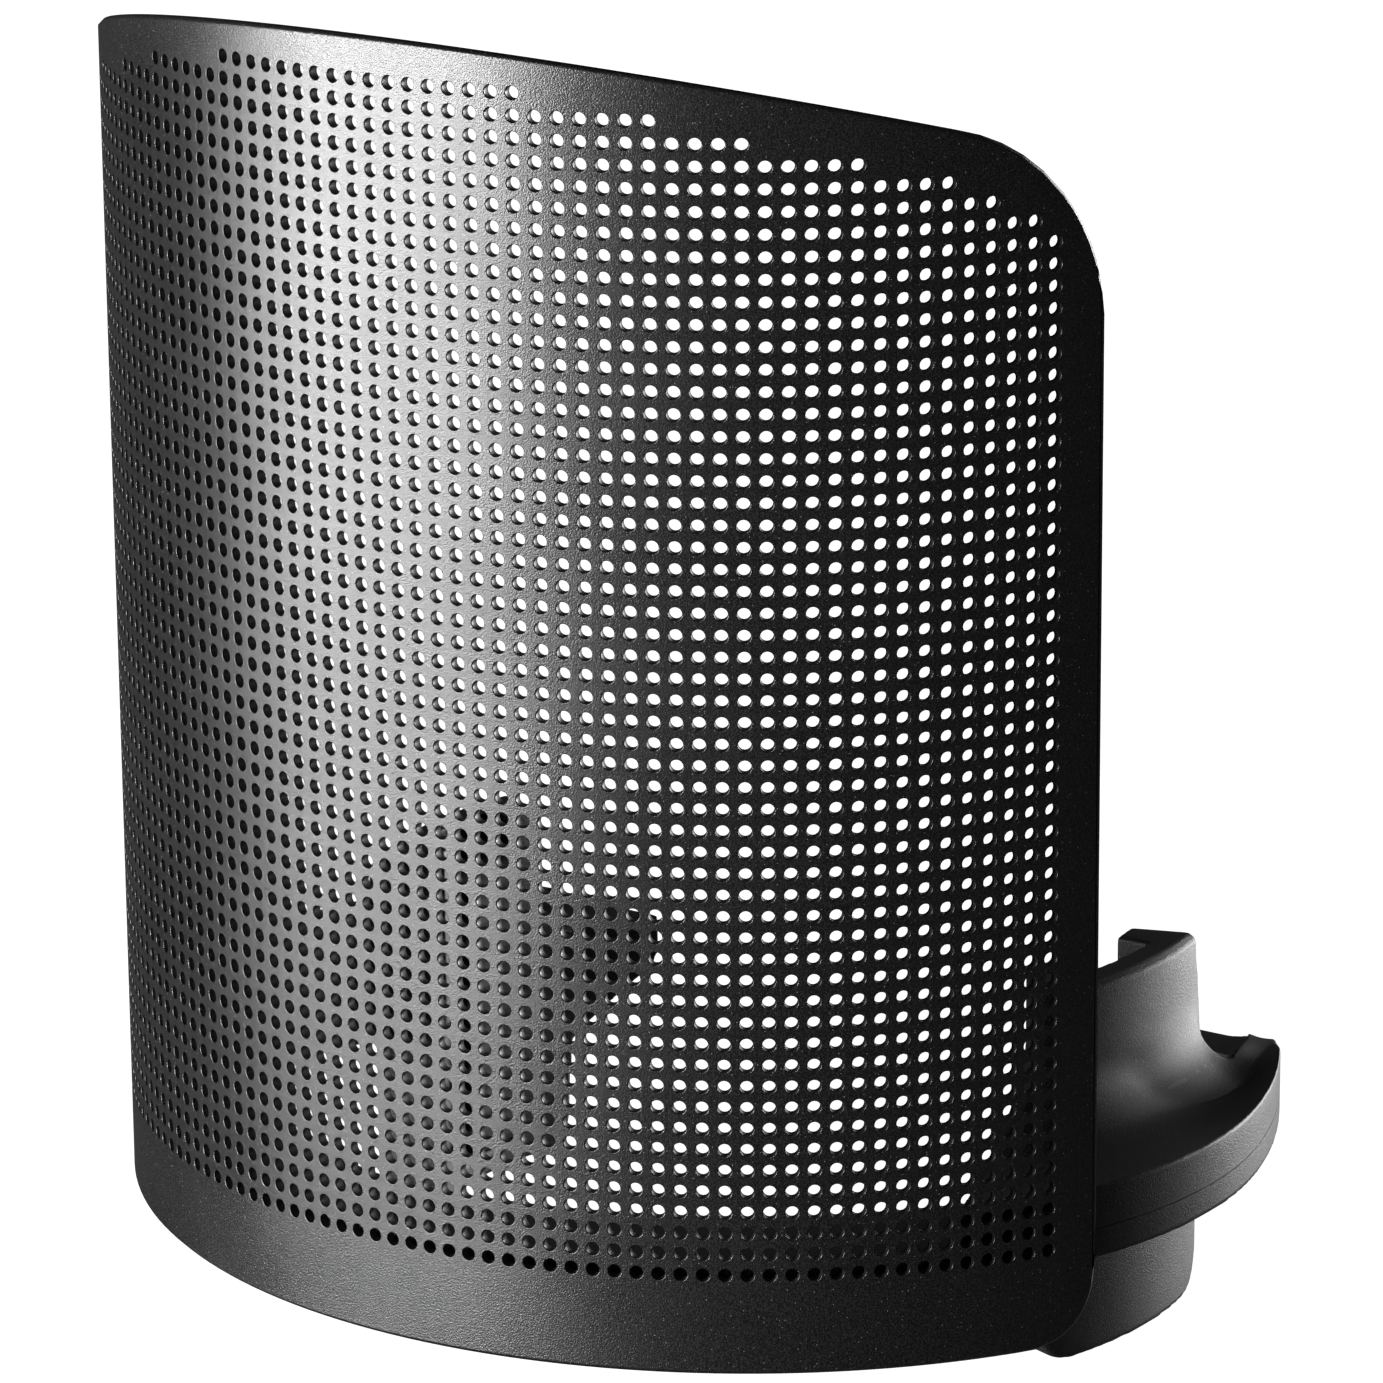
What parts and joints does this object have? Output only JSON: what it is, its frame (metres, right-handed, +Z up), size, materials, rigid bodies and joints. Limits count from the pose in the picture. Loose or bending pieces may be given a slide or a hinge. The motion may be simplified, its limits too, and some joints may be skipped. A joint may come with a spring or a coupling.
{
  "type": "microphone pop screen",
  "caption": "Curved perforated metal pop screen on a black moulded clip that springs round the body of a side-address studio microphone.",
  "frame": {"origin": "on the axis of the microphone that the clip grips, at the height where the upper and lower mouldings meet", "axes": "+Z up along the microphone, -Y towards the performer, +X to the right seen from behind the microphone"},
  "size_m": [0.086, 0.0659, 0.1003],
  "materials": {
    "screen_coat": "satin black powder coat",
    "moulding": "fine-grained soft-touch black",
    "pad": "matte",
    "steel": "black zinc"
  },
  "bodies": {
    "root": {"perforated_screen": "screen_coat", "right_cheek": "moulding", "left_cheek": "moulding", "cradle": "moulding", "right_grip_pad": "pad", "left_grip_pad": "pad", "screen_bracket_left": "steel", "screen_bracket_centre": "steel", "screen_bracket_right": "steel", "cheek_screw_right_front": "steel", "cheek_screw_right_rear": "steel", "cheek_screw_left_front": "steel", "cheek_screw_left_rear": "steel", "bracket_screw_left": "steel", "bracket_screw_centre": "steel", "bracket_screw_right": "steel"}
  },
  "joints": []
}
